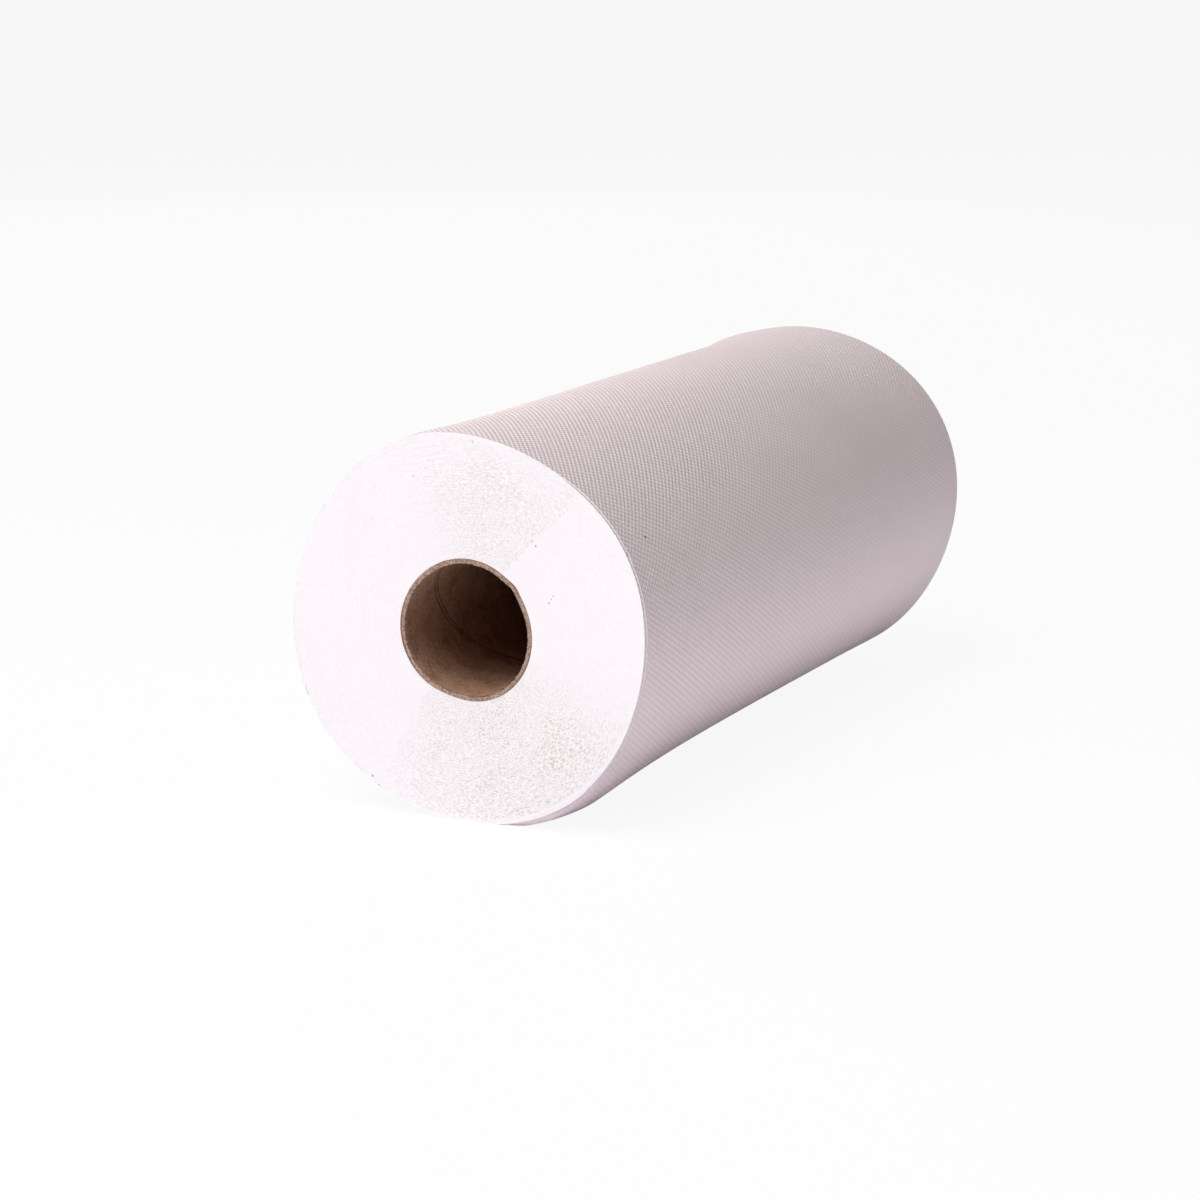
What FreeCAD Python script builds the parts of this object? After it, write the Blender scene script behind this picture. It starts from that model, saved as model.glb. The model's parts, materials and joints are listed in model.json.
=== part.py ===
"""Exam table paper roll: a white paper web wound as one long spiral on a cardboard core tube.

The roll lies on its side with its axis along Y and rests on the small flat spot that its own
weight presses into the soft paper. The origin is the middle of its footprint, +Z is up and the
roll's two cut end faces look along -Y and +Y. All sizes are in millimetres and degrees.
"""

import FreeCAD
import Part

import math
import os

# Cardboard core.
CORE_BORE = 40.0  # inner diameter, which slides over a dispenser's spindle
CORE_WALL = 1.5

# Wound paper.
WEB_WIDTH = 250.0  # length of roll and core along the axis
ROLL_DIAMETER = 116.0  # at the middle of the roll's length
TURN_THICKNESS = 0.24  # two embossed plies, also the height of the tail's edge
TAIL_ANGLE = 205.0  # where the web's glued tail ends, from +X towards +Z
FLAT_WIDTH = 14.0  # width of the flat spot under the roll

# Each cut end is a little wider than the middle.
FLARE_HEIGHT = 0.8  # growth in radius
FLARE_LENGTH = 14.0  # how far it reaches along the roll
OUTER_TURN_SETBACK = 1.2  # how far the last turn's edge lies behind the near end face

# The turns show on both end faces as one spiral line. Each turn of that line stands for about
# fifteen turns of the web.
LINE_PITCH = 3.6  # radial step from one turn of the line to the next
LINE_WIDTH = 0.9
LINE_DEPTH = 0.5
LINE_MARGIN = 1.5  # plain paper left beside the core and under the outer surface

core_radius = CORE_BORE / 2 + CORE_WALL
roll_radius = ROLL_DIAMETER / 2
half_width = WEB_WIDTH / 2
flare_radius = (FLARE_LENGTH**2 + FLARE_HEIGHT**2) / (2 * FLARE_HEIGHT)
axis_height = math.sqrt(roll_radius**2 - (FLAT_WIDTH / 2) ** 2)

Y_AXIS = FreeCAD.Vector(0, 1, 0)


def point(radius, y):
    """A point of a section drawn in the XY plane, with the roll's axis on Y."""
    return FreeCAD.Vector(radius, y, 0)


def outer_radius(y):
    """Radius of the wound paper at y: straight in the middle, an arc in each flared end."""
    past_straight = max(0.0, abs(y) - (half_width - FLARE_LENGTH))
    return roll_radius + flare_radius - math.sqrt(flare_radius**2 - past_straight**2)


def flare_arc(start, end, growth):
    """Section arc of a flared end between two places along the axis."""
    places = (start, (start + end) / 2, end)
    return Part.Arc(*(point(outer_radius(y) + growth, y) for y in places)).toShape()


def web_section(growth):
    """Half section of the wound paper, down to the axis, with its outer radius grown."""
    near, far = -half_width, half_width
    setback = near + OUTER_TURN_SETBACK
    under_turn = growth - TURN_THICKNESS
    near_flare_end = near + FLARE_LENGTH
    far_flare_end = far - FLARE_LENGTH
    straight_radius = roll_radius + growth
    near_side = Part.makePolygon(
        [
            point(0, far),
            point(0, near),
            point(outer_radius(near) + under_turn, near),
            point(outer_radius(setback) + under_turn, setback),
            point(outer_radius(setback) + growth, setback),
        ]
    )
    straight = Part.makeLine(
        point(straight_radius, near_flare_end), point(straight_radius, far_flare_end)
    )
    far_edge = Part.makeLine(point(outer_radius(far) + growth, far), point(0, far))
    edges = near_side.Edges + [
        flare_arc(setback, near_flare_end, growth),
        straight,
        flare_arc(far_flare_end, far, growth),
        far_edge,
    ]
    return Part.Face(Part.Wire(edges))


def half_turn(section, centre_offset, upper):
    """Turns a section by half a turn about an axis that is moved from the roll's along +X."""
    section.translate(FreeCAD.Vector(centre_offset, 0, 0))
    angle = -180 if upper else 180
    return section.revolve(FreeCAD.Vector(centre_offset, 0, 0), Y_AXIS, angle)


def wound_web():
    """The paper before its ends are marked: two half turns about two centres make the outer
    surface one turn of a spiral, whose step at +X is the tail's edge."""
    growth = TURN_THICKNESS / 2
    lower = half_turn(web_section(0), 0, upper=False)
    upper = half_turn(web_section(growth), growth, upper=True)
    return lower.fuse(upper)


def line_section(radius, end):
    """Triangle that cuts the spiral line into one end face (end is -1 near, +1 far). It stands
    as far out of the face as it goes in, so it is LINE_WIDTH wide at the face."""
    tip = end * (half_width - LINE_DEPTH)
    base = end * (half_width + LINE_DEPTH)
    corners = [point(radius - LINE_WIDTH, base), point(radius, tip), point(radius + LINE_WIDTH, base)]
    return Part.Face(Part.makePolygon(corners + corners[:1]))


def turn_line(end):
    """Cutting shapes of the spiral line on one end face, one for each half turn."""
    growth = LINE_PITCH / 2
    first = core_radius + LINE_MARGIN
    last = roll_radius - TURN_THICKNESS - LINE_MARGIN - growth
    count = 1 + int((last - first) / growth)
    return [
        half_turn(line_section(first + i * growth, end), growth * (i % 2), upper=i % 2 == 1)
        for i in range(count)
    ]


def stand_on_flat(shape):
    """Turns the tail's edge from +X to its place and lifts the axis over the flat spot."""
    shape.rotate(FreeCAD.Vector(0, 0, 0), Y_AXIS, -TAIL_ANGLE)
    shape.translate(FreeCAD.Vector(0, 0, axis_height))
    return shape


def paper_roll():
    """All turns of the web as one solid, seated on the core's outer surface."""
    core_space = Part.makeCylinder(core_radius, WEB_WIDTH, point(0, -half_width), Y_AXIS)
    web = wound_web().cut(turn_line(-1) + turn_line(1) + [core_space])
    web = stand_on_flat(web)
    corner = FreeCAD.Vector(-ROLL_DIAMETER, -WEB_WIDTH, -ROLL_DIAMETER)
    below_floor = Part.makeBox(2 * ROLL_DIAMETER, 2 * WEB_WIDTH, ROLL_DIAMETER, corner)
    return web.cut(below_floor).removeSplitter()


def core_tube():
    """Cardboard tube, cut flush with both ends of the paper."""
    near_centre = point(0, -half_width)
    tube = Part.makeCylinder(core_radius, WEB_WIDTH, near_centre, Y_AXIS)
    bore = Part.makeCylinder(CORE_BORE / 2, WEB_WIDTH, near_centre, Y_AXIS)
    return stand_on_flat(tube.cut(bore))


def export(name, shape):
    """Writes one sub-part's STEP file after a check that it is one sound solid."""
    if not shape.isValid() or len(shape.Solids) != 1:
        raise ValueError(f"{name} is not one valid solid")
    shape.Solids[0].exportStep(f"parts/{name}.step")


os.makedirs("parts", exist_ok=True)
export("paper_roll", paper_roll())
export("core_tube", core_tube())
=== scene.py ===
"""Looks of the exam table paper roll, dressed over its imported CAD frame.

The wound paper is shown by three meshes: the embossed outer turn and the two cut ends, on which
each turn of the web is a ridge of its own. The core is a spiral-wound cardboard tube with a ply
seam and a rough rim. Lengths are in metres and angles in degrees, unless a comment says otherwise.
Only theta is in radians. An angle round the roll runs from +X towards +Z.
"""

import json
import math

import bpy
import numpy as np
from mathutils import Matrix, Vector


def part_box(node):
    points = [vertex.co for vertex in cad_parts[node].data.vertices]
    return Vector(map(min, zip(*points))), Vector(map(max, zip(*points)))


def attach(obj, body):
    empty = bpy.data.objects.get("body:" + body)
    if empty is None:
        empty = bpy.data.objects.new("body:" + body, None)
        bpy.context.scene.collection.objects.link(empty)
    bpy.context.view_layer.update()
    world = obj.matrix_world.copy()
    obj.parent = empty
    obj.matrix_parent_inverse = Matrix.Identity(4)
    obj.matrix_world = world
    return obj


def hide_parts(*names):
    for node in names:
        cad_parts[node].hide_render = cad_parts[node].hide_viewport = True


MM = 0.001
HAIR = 1e-7  # places closer together than this count as one
SMALLEST_FACE = 1e-12  # square metres, under which a triangle is dropped

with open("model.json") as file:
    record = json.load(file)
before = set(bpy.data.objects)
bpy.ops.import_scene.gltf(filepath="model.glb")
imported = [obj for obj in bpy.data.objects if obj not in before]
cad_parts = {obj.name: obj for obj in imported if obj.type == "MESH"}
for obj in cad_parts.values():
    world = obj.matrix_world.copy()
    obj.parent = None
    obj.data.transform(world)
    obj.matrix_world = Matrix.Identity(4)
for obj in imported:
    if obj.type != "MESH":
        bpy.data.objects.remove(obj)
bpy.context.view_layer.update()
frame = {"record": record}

# ---- Sizes that come from the frame -------------------------------------------------------------

paper_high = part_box("paper_roll")[1]
core_low, core_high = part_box("core_tube")
core_mount = next(m for m in frame["record"]["mounts"] if m["name"] == "core_bore")

HALF_WIDTH = (core_high[1] - core_low[1]) / 2
AXIS_Z = (core_high[2] + core_low[2]) / 2
CORE_RADIUS = (core_high[0] - core_low[0]) / 2
BORE_RADIUS = core_mount["dims"]["r_mm"] * MM
END_RADIUS = paper_high[2] - AXIS_Z

# ---- The wound paper ----------------------------------------------------------------------------

TURN = 0.24 * MM  # thickness of one turn of the web
TAIL_ANGLE = 205.0  # where the web's tail ends
PAPER_INSET = 0.8 * MM  # the turn under the outer one lies this far inside the frame's radius
FLARE = 0.2 * MM  # how much wider each cut end is than the middle
FLARE_REACH = 36 * MM
BARREL = 0.25 * MM  # and how much wider the middle is than an even roll

# The soft roll is out of round: (lobes, height, direction of a lobe) all along it, and as the
# near and far ends add to that, fading over a length.
BODY_LOBES = ((1, 0.25 * MM, -53), (2, 0.50 * MM, 27), (3, 0.26 * MM, -18))
NEAR_LOBES = ((1, 0.31 * MM, 169), (2, 0.49 * MM, -62), (4, 0.66 * MM, 27), (5, 0.17 * MM, 30))
FAR_LOBES = ((1, 0.51 * MM, 52), (2, 0.49 * MM, 56), (3, 0.62 * MM, 39), (4, 0.42 * MM, 26))
NEAR_FADE, FAR_FADE = 45 * MM, 40 * MM

# At the right the outer turn's near edge lies behind the cut end, by this much and the lobes,
# with one nick. Elsewhere it is flush.
EDGE_SETBACK = 0.95 * MM
EDGE_LOBES = ((1, 0.6 * MM, -35), (3, -0.4 * MM, 28))
SETBACK_ANGLE, SETBACK_HALF_ANGLE, SETBACK_RUN_OUT = 4.0, 44.0, 10.0
NICK_ANGLE, NICK_HALF_ANGLE = 27.5, 0.9
NICK_DEPTH = 0.6 * MM

# That edge stands off the turn below, most at one place.
EDGE_LOOSENESS = 0.08 * MM
LOOSEST_ANGLE, LOOSEST_HALF_ANGLE = 37.0, 24.0
LOOSEST = 0.1 * MM  # how much further it stands off there
LOOSE_REACH = 8 * MM  # how far back the turn is loose

# Just behind the near end the roll swells at the upper left.
SHOULDER_ANGLE, SHOULDER_HALF_ANGLE = 112.0, 32.0
SHOULDER_RISE, SHOULDER_REACH = 7 * MM, 50 * MM
SHOULDER_HEIGHT = 0.45 * MM

# Near the near end the outer turns hang loose under the roll, most a little way in.
SAG_ANGLE, SAG_HALF_ANGLE = -66.0, 22.0
SAG_DEPTH = 4.6 * MM
SAG_START, SAG_REACH = 20 * MM, 44 * MM
HELD_SHARE, HELD_REACH = 0.7, 14 * MM  # the sag that is missing at the cut end, and how far back
RIM_GRIP = 2.5 * MM  # this close to the cut end the turns still hold together

# At the far end the outer turn has a lengthwise pucker behind the top of the roll.
LIP_ANGLE, LIP_HALF_ANGLE = 117.0, 7.0
LIP_START, LIP_RISE = 28 * MM, 20 * MM  # how far before the end it starts, and reaches its height
LIP_HEIGHT = 1.2 * MM

# Embossing: raised dots in staggered rows, a little askew to the web's edge.
DOT_STEP = (1.812 * MM, -0.051 * MM)  # to the next dot of a row, round the roll and along it
ROW_STEP = (1.076 * MM, 1.373 * MM)  # to the next row
DOT_HEIGHT = 0.18 * MM
BUMP_HEIGHT = 0.16 * MM  # of the dots that the material adds to the mesh's own
FADE_START, FADE_REACH = -80 * MM, 160 * MM  # the dots get lower here along the roll
FADED_SHARE = 0.35  # down to this share of their height
LOW_FADE, LOW_SHARE = 36 * MM, 0.45  # and so from this far over the axis down to it
BUMP_START, BUMP_REACH = 15 * MM, 45 * MM  # here along the roll bump takes over from the mesh
BUMP_GAIN = 2.1  # and is this much higher

SEED = 7


def smoothstep(x):
    """0 below 0, 1 above 1 and smooth between."""
    x = np.clip(x, 0.0, 1.0)
    return x * x * (3 - 2 * x)


def degrees_off(theta, centre):
    """How many degrees an angle in radians lies past one in degrees, from -180 to 180."""
    return (np.degrees(theta) - centre + 180) % 360 - 180


def around_angle(theta, centre, half_angle):
    """A smooth hump, 1 at an angle in degrees and fading to each side of it."""
    return np.exp(-((degrees_off(theta, centre) / half_angle) ** 2))


def lobed(lobes, theta):
    """How far some lobes, waves round the roll, stand out at an angle in radians."""
    return sum(size * np.cos(n * (theta - math.radians(at))) for n, size, at in lobes)


def body_sag(theta, back):
    """How far the outer turns hang down, by the distance back from the near end."""
    held = (1 - HELD_SHARE * np.exp(-back / HELD_REACH)) * smoothstep(back / RIM_GRIP)
    fading = np.exp(-np.maximum(back - SAG_START, 0) / SAG_REACH)
    return SAG_DEPTH * held * fading * around_angle(theta, SAG_ANGLE, SAG_HALF_ANGLE)


def paper_radius(theta, y):
    """Radius of the paper under the outer turn, which is flat on the floor."""
    back, ahead = HALF_WIDTH + y, HALF_WIDTH - y
    flare = FLARE * (1 - smoothstep((HALF_WIDTH - np.abs(y)) / FLARE_REACH))
    barrel = BARREL * (1 - (y / HALF_WIDTH) ** 2)
    near = np.exp(-back / NEAR_FADE) * lobed(NEAR_LOBES, theta)
    far = np.exp(-ahead / FAR_FADE) * lobed(FAR_LOBES, theta)
    swell = smoothstep(back / SHOULDER_RISE) * (1 - smoothstep(back / SHOULDER_REACH))
    shoulder = SHOULDER_HEIGHT * swell * around_angle(theta, SHOULDER_ANGLE, SHOULDER_HALF_ANGLE)
    radius = END_RADIUS - PAPER_INSET - FLARE + flare + barrel + lobed(BODY_LOBES, theta)
    radius = radius + near + far + shoulder + body_sag(theta, back)
    down = np.maximum(-np.sin(theta), 0.1)  # where it is less, the floor is out of reach
    return np.minimum(radius, (AXIS_Z - TURN) / down)


def under_radius(theta, y):
    """Outside of the turn under the outer one: the web's spiral, one step high at the tail."""
    turned = ((theta - math.radians(TAIL_ANGLE)) / (2 * math.pi)) % 1
    return paper_radius(theta, y) + TURN * (turned - 0.5)


def place(radius, theta, y):
    """Points round the roll's axis, with the underside pressed flat on the floor."""
    z = np.maximum(AXIS_Z + radius * np.sin(theta), 0.0)
    return np.stack([radius * np.cos(theta), y + 0 * theta, z], axis=-1)


def mesh_object(name, points, faces, materials, sharp_angle, second_from=None):
    """A mesh piece, cleared of faces without area and of unused points. Its edges are sharp above
    an angle, 0 for all of them. Faces from a number on have the second material."""
    faces = np.asarray(faces)
    a, b, c = (points[faces[:, k]] for k in (0, 1, 2))
    whole = np.linalg.norm(np.cross(b - a, c - a), axis=1) / 2 > SMALLEST_FACE
    second = np.arange(len(faces)) >= (len(faces) if second_from is None else second_from)
    faces, second = faces[whole], second[whole]
    used, faces = np.unique(faces, return_inverse=True)
    faces = faces.reshape(-1, 3)
    mesh = bpy.data.meshes.new(name)
    mesh.from_pydata(points[used].tolist(), [], faces.tolist())
    if sharp_angle > 0:
        mesh.shade_smooth()
        mesh.set_sharp_from_angle(angle=math.radians(sharp_angle))
    for material in materials:
        mesh.materials.append(material)
    mesh.polygons.foreach_set("material_index", second.astype(np.int32))
    piece = bpy.data.objects.new(name, mesh)
    bpy.context.scene.collection.objects.link(piece)
    return piece


def grid_faces(rows, columns, start=0, closed=False, shift=0):
    """Two triangles for each cell of a grid of points stored row by row. A closed grid joins its
    last column to its first, shift rows further on."""
    row, column = np.meshgrid(
        np.arange(rows - 1), np.arange(columns if closed else columns - 1), indexing="ij"
    )
    row, column = row.ravel(), column.ravel()
    wraps = column == columns - 1
    next_column = np.where(wraps, 0, column + 1)
    step = np.where(wraps & closed, shift, 0)
    kept = row + 1 + step < rows
    row, column, next_column, step = (v[kept] for v in (row, column, next_column, step))
    a = start + row * columns + column
    b = start + (row + step) * columns + next_column
    c = start + (row + 1 + step) * columns + next_column
    d = start + (row + 1) * columns + column
    return np.concatenate([np.stack([a, b, c], 1), np.stack([a, c, d], 1)])


def joined(parts):
    """Several meshes, each a pair of points and faces, as one such pair."""
    starts = np.cumsum([0] + [len(points) for points, faces in parts])
    faces = np.concatenate([faces + start for (points, faces), start in zip(parts, starts)])
    return np.concatenate([points for points, faces in parts]), faces


# ---- The outer turn -----------------------------------------------------------------------------

WEB_LENGTH = 2 * math.pi * (END_RADIUS - FLARE)  # once round the middle of the roll
TAIL_UNDERLAP = 3 * MM  # how far the outer turn starts ahead of its own tail
WEB_LOW = np.array([-TAIL_UNDERLAP, -HALF_WIDTH])  # the flat web's corners, round and along
WEB_HIGH = np.array([WEB_LENGTH, HALF_WIDTH])
FLAT_CLEARANCE = 4 * MM  # paper nearer than this to the floor is pressed smooth
RUN_OUT = 1.2 * MM  # the embossing runs out this close to the web's cut edges


def lattice_points():
    """Points that cover the flat web: every dot, then every corner of the first kind and of the
    second, between three dots. Also how many dots and how many rows there are."""
    dot, row = np.array(DOT_STEP), np.array(ROW_STEP)
    corners = np.array([(u, v) for u in (WEB_LOW[0], WEB_HIGH[0]) for v in (WEB_LOW[1], WEB_HIGH[1])])
    across = corners @ np.linalg.inv(np.array([dot, row]))
    first = np.floor(across.min(axis=0)).astype(int) - 2
    dots, rows = np.ceil(across.max(axis=0)).astype(int) + 2 - first
    i, j = np.meshgrid(np.arange(dots), np.arange(rows), indexing="ij")
    centre = (first[0] + i[..., None]) * dot + (first[1] + j[..., None]) * row
    third = (dot + row) / 3
    flat = np.concatenate([(centre + k * third).reshape(-1, 2) for k in (0, 1, 2)])
    return flat, dots, rows


def cell_faces(flat, dots, rows):
    """Triangles of the six-sided cell round each dot. They meet in the dot, but where the dots
    are no more than bump it is left out."""
    i, j = np.meshgrid(np.arange(1, dots - 1), np.arange(1, rows - 1), indexing="ij")
    dot = (i * rows + j).ravel()
    first, second = dots * rows + dot, 2 * dots * rows + dot
    ring = [first, second - rows, first - rows, second - rows - 1, first - 1, second - 1]
    plain = emboss_share(flat[dot]) == 0
    raised = [np.stack([dot, ring[(k + 1) % 6], ring[k]], 1)[~plain] for k in range(6)]
    level = [np.stack([ring[0], ring[k + 1], ring[k]], 1)[plain] for k in range(1, 5)]
    return np.concatenate(raised + level)


def embossed_web():
    """The flat web's points, its triangles and which points are dots. Cells across an edge of
    the web end on it."""
    flat, dots, rows = lattice_points()
    faces = cell_faces(flat, dots, rows)
    inside = np.clip(flat, WEB_LOW, WEB_HIGH)
    inside[:, 1] = np.maximum(inside[:, 1], near_edge(web_angle(inside[:, 0])))
    beyond = np.concatenate([flat < inside, flat > inside], axis=1)
    faces = faces[~beyond[faces].all(axis=1).any(axis=1)]
    used, faces = np.unique(faces, return_inverse=True)
    return inside[used], faces.reshape(-1, 3), used < dots * rows


def near_edge(theta):
    """Where the outer turn's near edge lies along the roll."""
    off = np.abs(degrees_off(theta, SETBACK_ANGLE))
    shown = 1 - smoothstep((off - SETBACK_HALF_ANGLE) / SETBACK_RUN_OUT)
    nick = NICK_DEPTH * around_angle(theta, NICK_ANGLE, NICK_HALF_ANGLE)
    return -HALF_WIDTH + (EDGE_SETBACK + lobed(EDGE_LOBES, theta) + nick) * shown


def looseness(theta, y):
    """How far the outer turn stands off: a little at its near edge, more at its far pucker."""
    edge = EDGE_LOOSENESS + LOOSEST * around_angle(theta, LOOSEST_ANGLE, LOOSEST_HALF_ANGLE)
    edge = edge * (1 - smoothstep((y + HALF_WIDTH) / LOOSE_REACH))
    along = smoothstep((y - HALF_WIDTH + LIP_START) / LIP_RISE)
    return edge + LIP_HEIGHT * along * around_angle(theta, LIP_ANGLE, LIP_HALF_ANGLE)


def web_angle(around):
    """The angle round the roll, in radians, of a place along the outer turn."""
    return math.radians(TAIL_ANGLE) + around / WEB_LENGTH * 2 * math.pi


def web_place(flat):
    """The angle and the radius at which points of the flat web lie, each turn's end one thickness
    above its start."""
    around, y = flat[:, 0], flat[:, 1]
    theta = web_angle(around)
    thickness = TURN * (0.5 + around / WEB_LENGTH)
    return theta, paper_radius(theta, y) + thickness + looseness(theta, y)


def emboss_share(flat):
    """The share of the dots' full height that the mesh has, at points of the flat web."""
    theta, radius = web_place(flat)
    around, y = flat[:, 0], flat[:, 1]
    height = AXIS_Z + radius * np.sin(theta)
    share = smoothstep(height / FLAT_CLEARANCE - 1)
    share = share * (1 - (1 - FADED_SHARE) * smoothstep((y - FADE_START) / FADE_REACH))
    share = share * (1 - smoothstep((y - BUMP_START) / BUMP_REACH))
    share = share * (LOW_SHARE + (1 - LOW_SHARE) * smoothstep((height - AXIS_Z) / LOW_FADE))
    for to_edge in (y - near_edge(theta), WEB_LENGTH - around, around + TAIL_UNDERLAP):
        share = share * smoothstep(to_edge / RUN_OUT)
    return share


def edge_wall(edge, along, drop):
    """A cut edge of the web: a strip from the points on that edge, in their order along it, down
    by a drop towards the turn below."""
    edge = edge[np.argsort(edge[:, along])]
    edge = edge[np.r_[True, np.diff(edge[:, along]) > HAIR]]
    theta, top = web_place(edge)
    rims = [place(top, theta, edge[:, 1]), place(top - drop, theta, edge[:, 1])]
    return np.concatenate(rims), grid_faces(2, len(edge))


def outer_turn(material, edge_material):
    """The embossed outer turn. Its cut edges have the look of the roll's cut ends."""
    flat, faces, is_dot = embossed_web()
    theta, radius = web_place(flat)
    around, y = flat[:, 0], flat[:, 1]
    relief = DOT_HEIGHT * (is_dot - 0.5) * emboss_share(flat)
    near_wall = edge_wall(flat[y <= near_edge(theta) + HAIR], 0, TURN + LOOSEST)
    far_wall = edge_wall(flat[y >= HALF_WIDTH - HAIR], 0, TURN)
    tail_wall = edge_wall(flat[around >= WEB_LENGTH - HAIR], 1, TURN)
    web = place(radius + relief, theta, y), faces
    points, all_faces = joined([web, near_wall, far_wall, tail_wall])
    materials = [material, edge_material]
    walls_from = len(faces)
    return mesh_object(
        "outer_turn", points, all_faces, materials, sharp_angle=0.0, second_from=walls_from
    )


# ---- The cut ends -------------------------------------------------------------------------------

END_SEGMENTS = 220  # round the roll
RIDGE = 0.05 * MM  # how far each turn's edge stands out of the groove beside it
RAGGEDNESS = 0.05 * MM  # how unevenly the turns end
PAPER_GAP = 0.06 * MM  # between the first turn and the core's cut edge
COLLAR_STEPS = MM * np.array([0.3, 0.8, 1.4, 2, 3, 6, 12, 20, 30, 50])  # its rings, going back
THROAT = 2 * MM  # how far the first turn shows behind the core's rim

# The core's near rim isn't round: (angle, half angle, height) of a dent and a crease, and lobes.
RIM_DENTS = ((-105.0, 18.33, -0.5 * MM), (42.0, 6.3, 0.45 * MM))
RIM_LOBES = ((2, 0.2 * MM, 0), (3, 0.2 * MM, 78.3))


def core_dents(theta):
    """How far the core's near rim departs from round: pushed in below, creased at the upper
    right and a little oval."""
    return lobed(RIM_LOBES, theta) + sum(
        height * around_angle(theta, at, half_angle) for at, half_angle, height in RIM_DENTS
    )


def wrapped_angles(count):
    """Evenly spaced angles from -180 degrees, in radians."""
    return -math.pi + 2 * math.pi * np.arange(count) / count


def spiral_rows(random, count, steps):
    """How unevenly each row of a spiral stands out, running on smoothly into the row two on."""
    theta = wrapped_angles(steps)
    uneven = np.zeros((count + 2, steps))
    for waves in (1, 5, 17):
        phase = random.uniform(0, 2 * math.pi, (count + 2, 1))
        size = random.uniform(0.2, 1.0, (count + 2, 1))
        uneven += size * np.cos(waves * theta + phase) / 3
    share = np.arange(steps) / steps
    return uneven[:-2] * (1 - share) + uneven[2:] * share


def cut_end(name, side, material, collar_material):
    """One cut end: every turn of the web is a ridge, in one spiral from the core outwards, and
    the turn under the outer one runs back as a collar. side is -1 near, +1 far."""
    random = np.random.default_rng(SEED + side)
    theta = wrapped_angles(END_SEGMENTS)
    y_end = side * HALF_WIDTH
    inner = CORE_RADIUS + PAPER_GAP + (core_dents(theta) if side < 0 else 0 * theta)
    outer = under_radius(theta, y_end)
    turns = int(round((outer.mean() - inner.mean()) / TURN))
    half_turns = np.arange(2 * turns + 3)[:, None]
    share = np.clip((half_turns / 2 - 1 + np.arange(END_SEGMENTS) / END_SEGMENTS) / turns, 0, 1)
    face_radius = inner + share * (outer - inner)
    uneven = spiral_rows(random, len(half_turns), END_SEGMENTS)
    out = RIDGE * (half_turns % 2 - 0.5) + RAGGEDNESS * uneven
    throat_y = y_end - side * np.array([[THROAT]]) + 0 * theta
    collar_y = y_end + out[-1] - side * COLLAR_STEPS[:, None]
    radius = np.concatenate([inner[None], face_radius, under_radius(theta, collar_y)])
    y = np.concatenate([throat_y, y_end + side * out, collar_y])
    points = place(radius, np.broadcast_to(theta, radius.shape), y).reshape(-1, 3)
    rows = len(half_turns)
    throat = grid_faces(2, END_SEGMENTS, closed=True)
    face = grid_faces(rows, END_SEGMENTS, start=END_SEGMENTS, closed=True, shift=2)
    collar = grid_faces(1 + len(COLLAR_STEPS), END_SEGMENTS, start=rows * END_SEGMENTS, closed=True)
    faces = np.concatenate([throat, face, collar])
    faces = faces if side < 0 else faces[:, ::-1]
    collar_from = len(throat) + len(face)
    materials = [material, collar_material]
    return mesh_object(name, points, faces, materials, sharp_angle=70.0, second_from=collar_from)


# ---- The core -----------------------------------------------------------------------------------

CORE_SEGMENTS = 360
PLY_PITCH = 113 * MM  # the core's plies advance this far along it in one turn
SEAM_AT = -101.6 * MM  # where along the roll the inner ply's seam passes the angle -180
SEAM_HALF_WIDTH = 0.9 * MM
SEAM_DEPTH = 0.2 * MM
# The seam's section: (across, deep) as shares of those two.
SEAM_SECTION = ((-2.0, 0), (-1.2, 0), (-0.8, 1), (0.8, 1), (1.2, 0), (2.0, 0))
WALL_STEP = 5 * MM  # between the rows of the inner wall's grid, apart from the seam's own
DENT_REACH = 25 * MM  # how far down the tube the near rim's dents run
RIM_ROUGHNESS = 0.07 * MM

# A cut rim, from the bore out: (share of the wall, share of the roughness, how far back).
RIM_SECTION = (
    (0.0, 0.0, 0.0),
    (0.2, 0.4, 0.0),
    (0.4, 1.0, 0.0),
    (0.6, 1.0, 0.0),
    (0.8, 1.0, 0.0),
    (1.0, 0.4, 0.0),
    (1.0, 0.0, 4 * MM),
)


def core_wall(theta):
    """The core's inner wall. Its grid runs along the ply seam, a shallow gap between the edges of
    the inner ply, and is squeezed onto the two cut rims where it would pass them."""
    across, depth = np.array(SEAM_SECTION).T
    plain = np.arange(1, int(PLY_PITCH / WALL_STEP)) * WALL_STEP
    offset = np.concatenate([SEAM_HALF_WIDTH * across, plain])
    depth = np.concatenate([SEAM_DEPTH * depth, 0 * plain])
    pitches = int(2 * HALF_WIDTH / PLY_PITCH) + 4
    start = SEAM_AT + PLY_PITCH * (np.arange(pitches)[:, None] - 2)
    y = (start + offset).ravel()[:, None] + PLY_PITCH * (theta + math.pi) / (2 * math.pi)
    y = np.clip(y, -HALF_WIDTH, HALF_WIDTH)
    dents = core_dents(theta) * np.exp(-(y + HALF_WIDTH) / DENT_REACH)
    radius = BORE_RADIUS + np.tile(depth, pitches)[:, None] + dents
    points = place(radius, np.broadcast_to(theta, y.shape), y).reshape(-1, 3)
    return points, grid_faces(len(y), CORE_SEGMENTS, closed=True, shift=len(offset))


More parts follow.
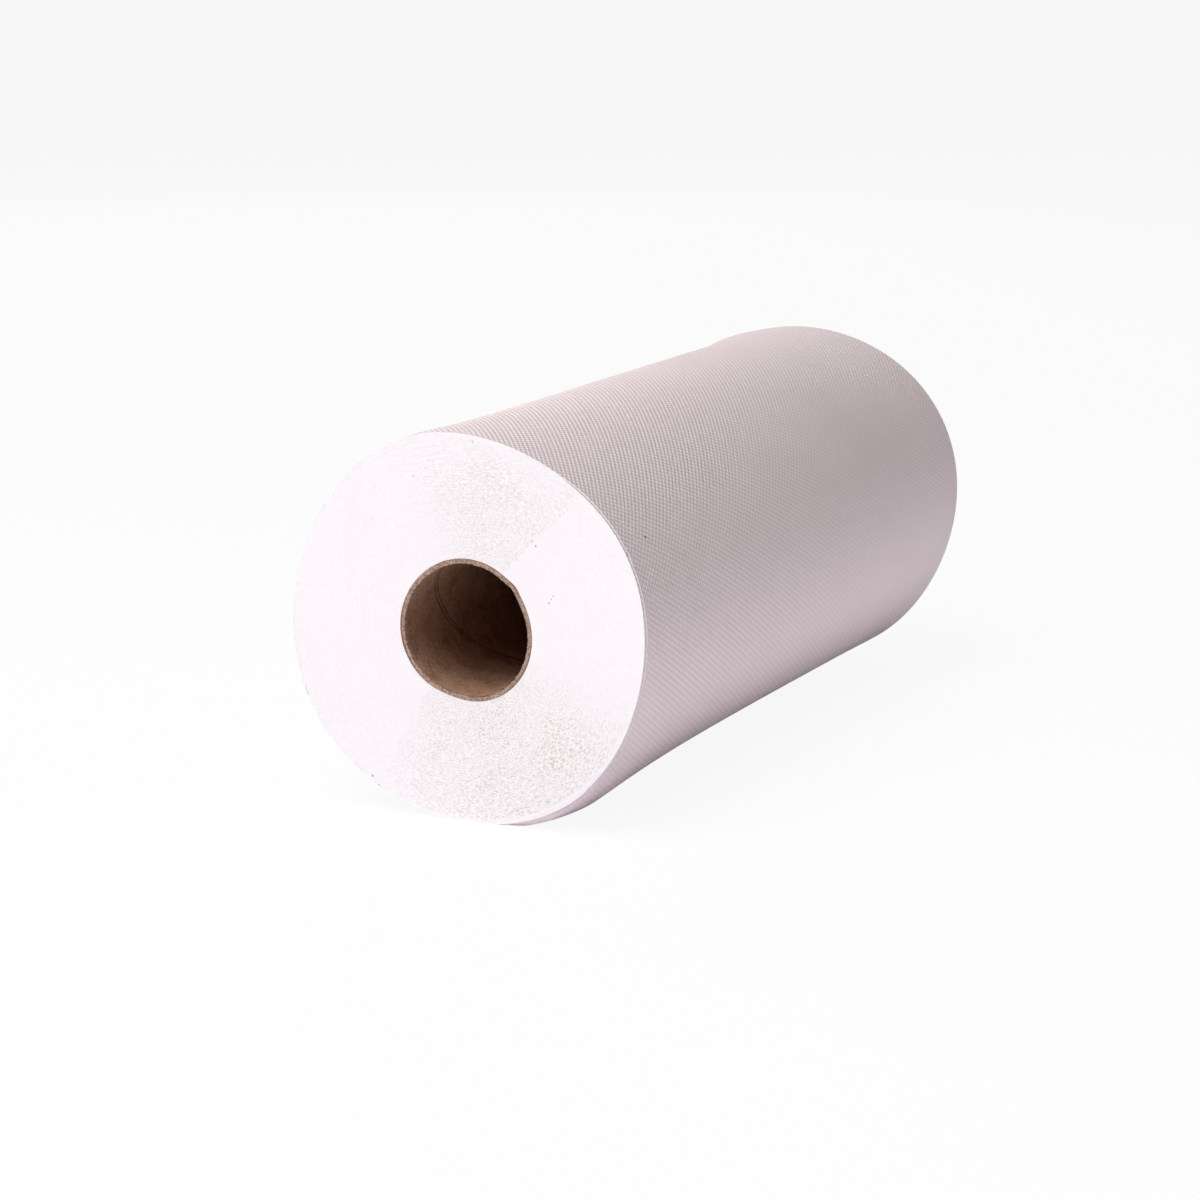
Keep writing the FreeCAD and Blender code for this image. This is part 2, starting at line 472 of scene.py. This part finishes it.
def core_rim(random, theta, side):
    """A cut rim of the core, rough as it was sawn, and the start of its outside."""
    share, uneven, back = np.array(RIM_SECTION).T[..., None]
    rough = uneven * random.normal(0, RIM_ROUGHNESS, (len(share), CORE_SEGMENTS))
    dents = core_dents(theta) if side < 0 else 0 * theta
    radius = BORE_RADIUS + share * (CORE_RADIUS - BORE_RADIUS) + dents
    y = side * (HALF_WIDTH - back + rough)
    points = place(radius, np.broadcast_to(theta, radius.shape), y).reshape(-1, 3)
    faces = grid_faces(len(share), CORE_SEGMENTS, closed=True)
    return points, faces[:, ::-1] if side < 0 else faces


def core_tube(material):
    """The spiral-wound tube: its inner wall and its two cut rims."""
    random = np.random.default_rng(SEED)
    theta = wrapped_angles(CORE_SEGMENTS)
    near, far = core_rim(random, theta, -1), core_rim(random, theta, 1)
    points, faces = joined([core_wall(theta), near, far])
    return mesh_object("core_tube_dressed", points, faces, [material], sharp_angle=50.0)


# ---- Materials ----------------------------------------------------------------------------------


class Shader:
    """Builds one material's nodes round a Principled BSDF."""

    def __init__(self, name, roughness):
        self.material = bpy.data.materials.new(name)
        self.material.use_nodes = True
        self.tree = self.material.node_tree
        self.surface = self.tree.nodes["Principled BSDF"]
        self.surface.inputs["Roughness"].default_value = roughness
        self.surface.inputs["Specular IOR Level"].default_value = 0.25
        self.place = self.output("ShaderNodeTexCoord", "Object")

    def put(self, socket, value):
        """Links a socket to an output or sets it to a constant."""
        if isinstance(value, bpy.types.NodeSocket):
            self.tree.links.new(value, socket)
        else:
            socket.default_value = value

    def output(self, kind, output=0, settings=None, **inputs):
        """Adds a node and returns one of its outputs. Inputs go by name, with _ for a space."""
        node = self.tree.nodes.new(kind)
        for key, value in (settings or {}).items():
            setattr(node, key, value)
        for key, value in inputs.items():
            self.put(node.inputs[key.replace("_", " ")], value)
        return node.outputs[output]

    def math(self, operation, *values):
        node = self.tree.nodes.new("ShaderNodeMath")
        node.operation = operation
        for socket, value in zip(node.inputs, values):
            self.put(socket, value)
        return node.outputs[0]

    def vector(self, operation, *values, output=0, scale=None):
        node = self.tree.nodes.new("ShaderNodeVectorMath")
        node.operation = operation
        for socket, value in zip(node.inputs, values):
            self.put(socket, value)
        if scale is not None:
            self.put(node.inputs["Scale"], scale)
        return node.outputs[output]

    def product(self, first, *others):
        for other in others:
            first = self.math("MULTIPLY", first, other)
        return first

    def dot(self, vector, axis):
        return self.vector("DOT_PRODUCT", vector, axis, output="Value")

    def ramp(self, value, low, high, to_low=0.0, to_high=1.0):
        """Maps low..high to to_low..to_high, smoothly and clamped."""
        return self.output(
            "ShaderNodeMapRange",
            settings={"interpolation_type": "SMOOTHSTEP"},
            Value=value,
            From_Min=low,
            From_Max=high,
            To_Min=to_low,
            To_Max=to_high,
        )

    def noise(self, vector, scale, detail=2.0, roughness=0.5):
        return self.output(
            "ShaderNodeTexNoise", Vector=vector, Scale=scale, Detail=detail, Roughness=roughness
        )

    def mix(self, factor, first, second):
        """Mixes two colours."""
        node = self.tree.nodes.new("ShaderNodeMix")
        node.data_type = "RGBA"
        for socket, value in ((0, factor), (6, first), (7, second)):
            self.put(node.inputs[socket], value)
        return node.outputs[2]

    def bump(self, height, distance, strength=1.0, normal=None):
        inputs = {"Height": height, "Distance": distance, "Strength": strength}
        if normal is not None:
            inputs["Normal"] = normal
        return self.output("ShaderNodeBump", **inputs)

    def polar(self):
        """Place round the roll's axis: (radius, direction from the axis, y)."""
        centred = self.vector("SUBTRACT", self.place, (0, 0, AXIS_Z))
        across = self.vector("MULTIPLY", centred, (1, 0, 1))
        radius = self.vector("LENGTH", across, output="Value")
        unit = self.vector("NORMALIZE", across)
        y = self.output("ShaderNodeSeparateXYZ", "Y", Vector=self.place)
        return radius, unit, y

    def spot(self, centre, radius, softness=0.35):
        """1 inside a small round spot about a point, 0 outside."""
        distance = self.vector("DISTANCE", self.place, centre, output="Value")
        return self.ramp(distance, radius * (1 + softness), radius * (1 - softness))


def on_roll(radius, angle, y):
    """A point at an angle in degrees round the roll's axis."""
    turn = math.radians(angle)
    return (radius * math.cos(turn), y, AXIS_Z + radius * math.sin(turn))


SIDE_WHITE = (0.98, 0.845, 0.855, 1)
# The side's hollow colour is painted shade between the raised dots, and also tints faint clouds of
# tone.
SIDE_HOLLOW_SHADE_AND_CLOUD = (0.72, 0.62, 0.63, 1)
HOLLOW_SHADE_SHARE = 0.57  # how much of that painted hollow shade a smooth place has
FAR_HOLLOW_SHADE_SHARE = 0.40  # and at the far end, where the flatter paper gets less painted hollow shade and is paler
SPECK_BROWN = (0.10, 0.06, 0.045, 1)
SIDE_SPECK = (30.3, -109.6 * MM, 0.45 * MM)  # (angle, place along the roll, radius)
CREPE_HEIGHT = 0.03 * MM


def web_flat(shader, unit, y):
    """Place on the flat web, (round, along), as in the outer turn's mesh."""
    tail = math.radians(TAIL_ANGLE)
    ahead = shader.dot(unit, (-math.cos(tail), 0, -math.sin(tail)))
    beside = shader.dot(unit, (math.sin(tail), 0, -math.cos(tail)))
    angle = shader.math("ADD", shader.math("ARCTAN2", beside, ahead), math.pi)
    around = shader.math("MULTIPLY", angle, WEB_LENGTH / (2 * math.pi))
    return shader.output("ShaderNodeCombineXYZ", X=around, Y=y)


def emboss_waves(shader, flat):
    """Three waves that add up to 3 on each dot and to -1.5 in the corners between three."""
    first, second = np.linalg.inv(np.array([DOT_STEP, ROW_STEP])).T
    waves = []
    for step in (first, second, first + second):
        turns = shader.dot(flat, (2 * math.pi * step[0], 2 * math.pi * step[1], 0))
        waves.append(shader.math("COSINE", turns))
    return shader.math("ADD", shader.math("ADD", waves[0], waves[1]), waves[2])


def emboss_fade(shader, y):
    """The share of their full height that the dots have, in the mesh or by bump."""
    height = shader.output("ShaderNodeSeparateXYZ", "Z", Vector=shader.place)
    return shader.product(
        shader.ramp(y, FADE_START, FADE_START + FADE_REACH, 1.0, FADED_SHARE),
        shader.ramp(height, FLAT_CLEARANCE, 2 * FLAT_CLEARANCE),
        shader.ramp(height, AXIS_Z, AXIS_Z + LOW_FADE, LOW_SHARE),
    )


def side_colour(shader, total, fade, y):
    """White dots with painted shade in the hollows between them, faint clouds and one speck."""
    # painted shade: darker where the waves put hollows between the dots, less where the dots are
    # lower
    hollow_shade = shader.math("SUBTRACT", shader.ramp(total, -1.4, 1.4, 1.0, 0.0), HOLLOW_SHADE_SHARE)
    even = shader.ramp(y, 0.0, HALF_WIDTH, HOLLOW_SHADE_SHARE, FAR_HOLLOW_SHADE_SHARE)
    hollow_shade = shader.math("ADD", shader.product(hollow_shade, fade), even)
    clouds = shader.noise(shader.place, scale=45, detail=2)
    colour = shader.mix(hollow_shade, SIDE_WHITE, SIDE_HOLLOW_SHADE_AND_CLOUD)
    colour = shader.mix(shader.ramp(clouds, 0.35, 0.7, 0.0, 0.12), colour, SIDE_HOLLOW_SHADE_AND_CLOUD)
    angle, along, size = SIDE_SPECK
    speck = shader.spot(on_roll(END_RADIUS - FLARE, angle, along), size)
    return shader.mix(speck, colour, SPECK_BROWN)


def embossed_paper():
    """The outer turn's paper: dots, for the most part the mesh's own, and fine creping."""
    shader = Shader("embossed_paper", roughness=0.85)
    radius, unit, y = shader.polar()
    flat = web_flat(shader, unit, y)
    total = emboss_waves(shader, flat)
    fade = emboss_fade(shader, y)
    shader.put(shader.surface.inputs["Base Color"], side_colour(shader, total, fade, y))
    gain = shader.ramp(y, BUMP_START, BUMP_START + BUMP_REACH, 1.0, BUMP_GAIN)
    dots = shader.product(shader.ramp(total, -0.8, 2.9), fade, gain)
    stretched = shader.vector("MULTIPLY", flat, (1, 0.35, 1))
    crepe = shader.bump(shader.noise(stretched, scale=2600, detail=3), CREPE_HEIGHT, 0.5)
    shader.put(shader.surface.inputs["Normal"], shader.bump(dots, BUMP_HEIGHT, 1.0, crepe))
    return shader.material


FACE_WHITE = (0.94, 0.892, 0.915, 1)
FACE_SHADE = (0.90, 0.85, 0.865, 1)
TORN_WHITE = (0.945, 0.90, 0.895, 1)
TORN_SHADE = (0.66, 0.60, 0.56, 1)
FACE_RELIEF = 0.12 * MM
GRAIN_ROUND, GRAIN_ACROSS = 36.0, 2.4 / MM  # noise to a radian round the roll and a metre across
RIM_PLAIN, RIM_TORN = 1.5 * MM, 2.3 * MM  # the tears stop this far inside the rim

# Marks on the near cut end: (across, up, radius) from the roll's axis, in millimetres.
NEAR_SPECKS = (
    (22.9, 27.2, 0.30),
    (27.2, 10.9, 0.28),
    (27.9, 12.0, 0.22),
    (28.5, 13.0, 0.20),
    (-29.9, -50.2, 0.40),
    (-31.9, -47.4, 0.35),
    (-17.0, 44.5, 0.25),
    (2.6, 56.2, 0.25),
)

# The sharp side of each torn zone: two points (across, up) from the roll's axis, in millimetres.
UPPER_SIDE = ((14.1, 20.5), (40.6, 45.8))
LOWER_SIDE = ((-29.9, -50.2), (-13.6, -19.4))
TORN_RAGGEDNESS = 5 * MM  # how far these wander, at most


def left_of_line(shader, line, softness):
    """1 to the left of a line across the cut end, from its first point, and 0 to its right."""
    start, end = line
    length = math.hypot(end[0] - start[0], end[1] - start[1])
    normal = (-(end[1] - start[1]) / length, 0, (end[0] - start[0]) / length)
    off = normal[0] * start[0] * MM + normal[2] * (start[1] * MM + AXIS_Z)
    noise = shader.noise(shader.place, scale=420, detail=3, roughness=0.6)
    wander = shader.product(noise, TORN_RAGGEDNESS)
    distance = shader.math("ADD", shader.dot(shader.place, normal), wander)
    distance = shader.math("SUBTRACT", distance, off + TORN_RAGGEDNESS / 2)
    return shader.ramp(distance, -softness, softness)


def torn_zones(shader, radius, unit):
    """Where the saw tore the near end's paper: two sectors, over the core and under it, each
    with one sharp side. The upper one is fainter, most of all towards its rim."""
    upper = shader.product(
        left_of_line(shader, UPPER_SIDE, 0.35 * MM),
        shader.ramp(shader.dot(unit, (0.5, 0, 0.87)), 0.45, 1.0, 0.0, 0.65),  # its vague side
        shader.ramp(radius, 46 * MM, 56 * MM, 1.0, 0.5),
    )
    lower = shader.product(
        shader.math("SUBTRACT", 1, left_of_line(shader, LOWER_SIDE, 0.6 * MM)),
        shader.ramp(shader.dot(unit, (0.26, 0, -0.97)), 0.4, 0.95),  # its vague side
        shader.ramp(shader.dot(shader.place, (1, 0, 0)), -24 * MM, 4 * MM, 0.4, 1.0),
    )
    return shader.math("MAXIMUM", upper, lower)


def torn_share(shader, radius, unit, y):
    """How torn the paper is: in clouds within the torn zones of the near end, but its rim."""
    clouds = shader.noise(shader.place, scale=70, detail=3)
    return shader.product(
        torn_zones(shader, radius, unit),
        shader.ramp(y, 0.0, -HALF_WIDTH / 2),
        shader.ramp(clouds, 0.34, 0.62, 0.6, 1.0),
        shader.ramp(radius, END_RADIUS - RIM_PLAIN, END_RADIUS - RIM_TORN),
    )


def cut_paper():
    """The web's cut edges: streaks and, where they are torn, crumbs, both longer round the roll
    than across it."""
    shader = Shader("cut_paper", roughness=0.9)
    shader.surface.inputs["Specular IOR Level"].default_value = 0.1
    radius, unit, y = shader.polar()
    along = shader.vector("SCALE", unit, scale=GRAIN_ROUND)
    across = shader.output("ShaderNodeCombineXYZ", Y=shader.product(radius, GRAIN_ACROSS))
    ringed = shader.vector("ADD", along, across)
    streaks = shader.noise(ringed, scale=1.0, detail=3, roughness=0.6)
    elsewhere = shader.vector("ADD", ringed, (31, 17, 5))
    crumbs = shader.noise(elsewhere, scale=1.3, detail=1)
    torn = torn_share(shader, radius, unit, y)
    smooth = shader.mix(shader.ramp(streaks, 0.3, 0.7), FACE_SHADE, FACE_WHITE)
    rough = shader.mix(shader.ramp(crumbs, 0.33, 0.57), TORN_SHADE, TORN_WHITE)
    colour = shader.mix(torn, smooth, rough)
    for right, up, size in NEAR_SPECKS:
        spot = shader.spot((right * MM, -HALF_WIDTH, AXIS_Z + up * MM), size * MM)
        colour = shader.mix(shader.product(spot, 0.55), colour, SPECK_BROWN)
    shader.put(shader.surface.inputs["Base Color"], colour)
    relief = shader.math("ADD", streaks, shader.product(crumbs, torn, 1.5))
    shader.put(shader.surface.inputs["Normal"], shader.bump(relief, FACE_RELIEF, 0.7))
    return shader.material


BOARD_LIGHT = (0.415, 0.245, 0.165, 1)
BOARD_DARK = (0.22, 0.115, 0.065, 1)
RIM_LIGHT = (0.48, 0.345, 0.285, 1)
RIM_DARK = (0.25, 0.15, 0.11, 1)
RIM_BAND = 0.35 * MM  # how far the rim's lighter cut board runs down the tube
RIM_SHADOW_FROM, RIM_SHADOW_TO = 0.3 * MM, 0.1 * MM  # painted shadow where the core meets the paper: a dark line inside and outside its edge
GLUE_DARK = (0.10, 0.05, 0.03, 1)
SEAM_LINE = 0.3 * MM  # half the width of each dark line along the ply seam
BOARD_RELIEF = 0.12 * MM


def seam_lines(shader, unit, y):
    """1 along the two edges of the inner ply, which meet in the seam."""
    level, upright = shader.dot(unit, (1, 0, 0)), shader.dot(unit, (0, 0, 1))
    turned = shader.math("DIVIDE", shader.math("ARCTAN2", upright, level), 2 * math.pi)
    pitches = shader.math("DIVIDE", shader.math("SUBTRACT", y, SEAM_AT), PLY_PITCH)
    pitches = shader.math("ADD", shader.math("SUBTRACT", pitches, turned), 1.0)
    off = shader.math("SUBTRACT", shader.math("FRACT", pitches), 0.5)
    from_seam = shader.product(shader.math("ABSOLUTE", off), PLY_PITCH)
    from_line = shader.math("ABSOLUTE", shader.math("SUBTRACT", from_seam, SEAM_HALF_WIDTH))
    return shader.ramp(from_line, 1.8 * SEAM_LINE, 0.5 * SEAM_LINE)


def rim_colour(shader, radius):
    """Lighter cut board with a dark line of painted shadow round its outside, where it meets the
    paper.
    """
    flecks = shader.noise(shader.place, scale=1900, detail=2, roughness=0.6)
    cut = shader.mix(shader.ramp(flecks, 0.35, 0.65), RIM_DARK, RIM_LIGHT)
    # painted shadow where the core's rim meets the paper
    line = shader.ramp(radius, CORE_RADIUS - RIM_SHADOW_FROM, CORE_RADIUS + RIM_SHADOW_TO)
    return shader.mix(line, cut, BOARD_DARK)


def core_board():
    """Mottled brown board with the ply seam's two glue lines."""
    shader = Shader("core_board", roughness=0.9)
    shader.surface.inputs["Specular IOR Level"].default_value = 0.1
    radius, unit, y = shader.polar()
    grain = shader.noise(shader.place, scale=900, detail=4, roughness=0.65)
    mottle = shader.noise(shader.place, scale=160, detail=3)
    mixed = shader.math("ADD", shader.product(grain, 0.6), shader.product(mottle, 0.4))
    colour = shader.mix(shader.ramp(mixed, 0.32, 0.62), BOARD_DARK, BOARD_LIGHT)
    colour = shader.mix(shader.product(seam_lines(shader, unit, y), 0.75), colour, GLUE_DARK)
    from_middle = shader.math("ABSOLUTE", y)
    at_rim = shader.ramp(from_middle, HALF_WIDTH - 2 * RIM_BAND, HALF_WIDTH - RIM_BAND)
    colour = shader.mix(at_rim, colour, rim_colour(shader, radius))
    shader.put(shader.surface.inputs["Base Color"], colour)
    shader.put(shader.surface.inputs["Normal"], shader.bump(grain, BOARD_RELIEF, 0.7))
    return shader.material


# ---- Camera, light and floor --------------------------------------------------------------------

CAMERA_AZIMUTH, CAMERA_ELEVATION = 25.93, 12.25
CAMERA_TARGET = Vector((-12.57 * MM, -9.63 * MM, 43.1 * MM))
CAMERA_DISTANCE = 1.1876
CAMERA_LENS = 110.75


def direction(azimuth, elevation):
    """Towards an azimuth and elevation in degrees. Azimuth 0 is at -Y and 90 at +X."""
    azimuth, elevation = math.radians(azimuth), math.radians(elevation)
    level = math.cos(elevation)
    return Vector((math.sin(azimuth) * level, -math.cos(azimuth) * level, math.sin(elevation)))


def add_camera():
    back = direction(CAMERA_AZIMUTH, CAMERA_ELEVATION)
    camera = bpy.data.objects.new("camera", bpy.data.cameras.new("camera"))
    camera.data.lens = CAMERA_LENS
    camera.location = CAMERA_TARGET + CAMERA_DISTANCE * back
    camera.rotation_euler = back.to_track_quat("Z", "Y").to_euler()
    bpy.context.scene.collection.objects.link(camera)
    bpy.context.scene.camera = camera


def add_area_light(name, location, away, size, power):
    """A soft light of a width and a length that shines against the direction away."""
    light = bpy.data.lights.new(name, "AREA")
    light.shape = "RECTANGLE"
    light.size, light.size_y = size
    light.energy = power
    lamp = bpy.data.objects.new(name, light)
    lamp.location = location
    lamp.rotation_euler = away.to_track_quat("Z", "Y").to_euler()
    lamp.visible_camera = False
    bpy.context.scene.collection.objects.link(lamp)


SOFTBOX_DISTANCE = 1.6
LOW_CARD_PLACE = Vector((0.20, -0.06, 0.004))
LOW_CARD_SIZE = (0.24, 0.44)


def add_softbox(name, azimuth, elevation, size, power):
    """A soft light that shines on the middle of the roll from a direction."""
    away = direction(azimuth, elevation)
    location = Vector((0, 0, AXIS_Z)) + SOFTBOX_DISTANCE * away
    add_area_light(name, location, away, size, power)


def add_lights():
    """The main light high at the near end, a low fill that faces the cut end, a weak one behind
    and a white card low at the right."""
    add_softbox("key", azimuth=-12, elevation=61, size=(1.3, 1.3), power=23.5)
    add_softbox("front_fill", azimuth=-25, elevation=10, size=(0.8, 0.5), power=7.2)
    add_softbox("rear_fill", azimuth=-140, elevation=30, size=(1.3, 1.3), power=5)
    add_area_light("low_card", LOW_CARD_PLACE, Vector((0, 0, -1)), LOW_CARD_SIZE, power=0.215)


WORLD_LIGHT = (1.0, 0.93, 0.95, 1)
WORLD_STRENGTH = 0.04  # of the light that reaches the roll from all round


def camera_sees(tree):
    """1 for what the camera sees, straight on or in a reflection or glass."""
    path = tree.nodes.new("ShaderNodeLightPath")
    total = path.outputs["Is Camera Ray"]
    for name in ("Is Glossy Ray", "Is Transmission Ray"):
        add = tree.nodes.new("ShaderNodeMath")
        add.operation = "MAXIMUM"
        tree.links.new(total, add.inputs[0])
        tree.links.new(path.outputs[name], add.inputs[1])
        total = add.outputs[0]
    return total


def add_world():
    world = bpy.data.worlds.new("studio")
    world.use_nodes = True
    bpy.context.scene.world = world
    tree = world.node_tree
    light = tree.nodes["Background"]
    light.inputs["Color"].default_value = WORLD_LIGHT
    light.inputs["Strength"].default_value = WORLD_STRENGTH
    white = tree.nodes.new("ShaderNodeBackground")
    white.inputs["Color"].default_value = (1, 1, 1, 1)
    mix = tree.nodes.new("ShaderNodeMixShader")
    tree.links.new(camera_sees(tree), mix.inputs[0])
    tree.links.new(light.outputs[0], mix.inputs[1])
    tree.links.new(white.outputs[0], mix.inputs[2])
    tree.links.new(mix.outputs[0], tree.nodes["World Output"].inputs["Surface"])


FLOOR_SIZE = 40.0
FLOOR_COLOUR = (0.92, 0.915, 0.97, 1)
FLOOR_GLOW = 0.92  # how much of the floor the camera sees as plain white


def add_floor():
    """A pale floor that keeps the roll's shadow and reads as white in the picture."""
    mesh = bpy.data.meshes.new("floor")
    half = FLOOR_SIZE / 2
    corners = [(-half, -half, 0), (half, -half, 0), (half, half, 0), (-half, half, 0)]
    mesh.from_pydata(corners, [], [(0, 1, 2, 3)])
    material = bpy.data.materials.new("floor")
    material.use_nodes = True
    tree = material.node_tree
    tree.nodes["Principled BSDF"].inputs["Base Color"].default_value = FLOOR_COLOUR
    tree.nodes["Principled BSDF"].inputs["Roughness"].default_value = 1.0
    tree.nodes["Principled BSDF"].inputs["Specular IOR Level"].default_value = 0.0
    glow = tree.nodes.new("ShaderNodeEmission")
    mix = tree.nodes.new("ShaderNodeMixShader")
    share = tree.nodes.new("ShaderNodeMath")
    share.operation = "MULTIPLY"
    share.inputs[1].default_value = FLOOR_GLOW
    tree.links.new(camera_sees(tree), share.inputs[0])
    tree.links.new(share.outputs[0], mix.inputs[0])
    tree.links.new(tree.nodes["Principled BSDF"].outputs[0], mix.inputs[1])
    tree.links.new(glow.outputs[0], mix.inputs[2])
    tree.links.new(mix.outputs[0], tree.nodes["Material Output"].inputs["Surface"])
    mesh.materials.append(material)
    floor = bpy.data.objects.new("floor", mesh)
    bpy.context.scene.collection.objects.link(floor)


# ---- The scene ----------------------------------------------------------------------------------


def dress(piece, node):
    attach(piece, "root")
    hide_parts(node)


add_camera()
add_world()
add_floor()
add_lights()

side_paper = embossed_paper()
end_paper = cut_paper()
dress(outer_turn(side_paper, end_paper), "paper_roll")
dress(cut_end("near_cut_end", -1, end_paper, side_paper), "paper_roll")
dress(cut_end("far_cut_end", 1, end_paper, side_paper), "paper_roll")
dress(core_tube(core_board()), "core_tube")

bpy.context.scene.view_settings.view_transform = "Standard"
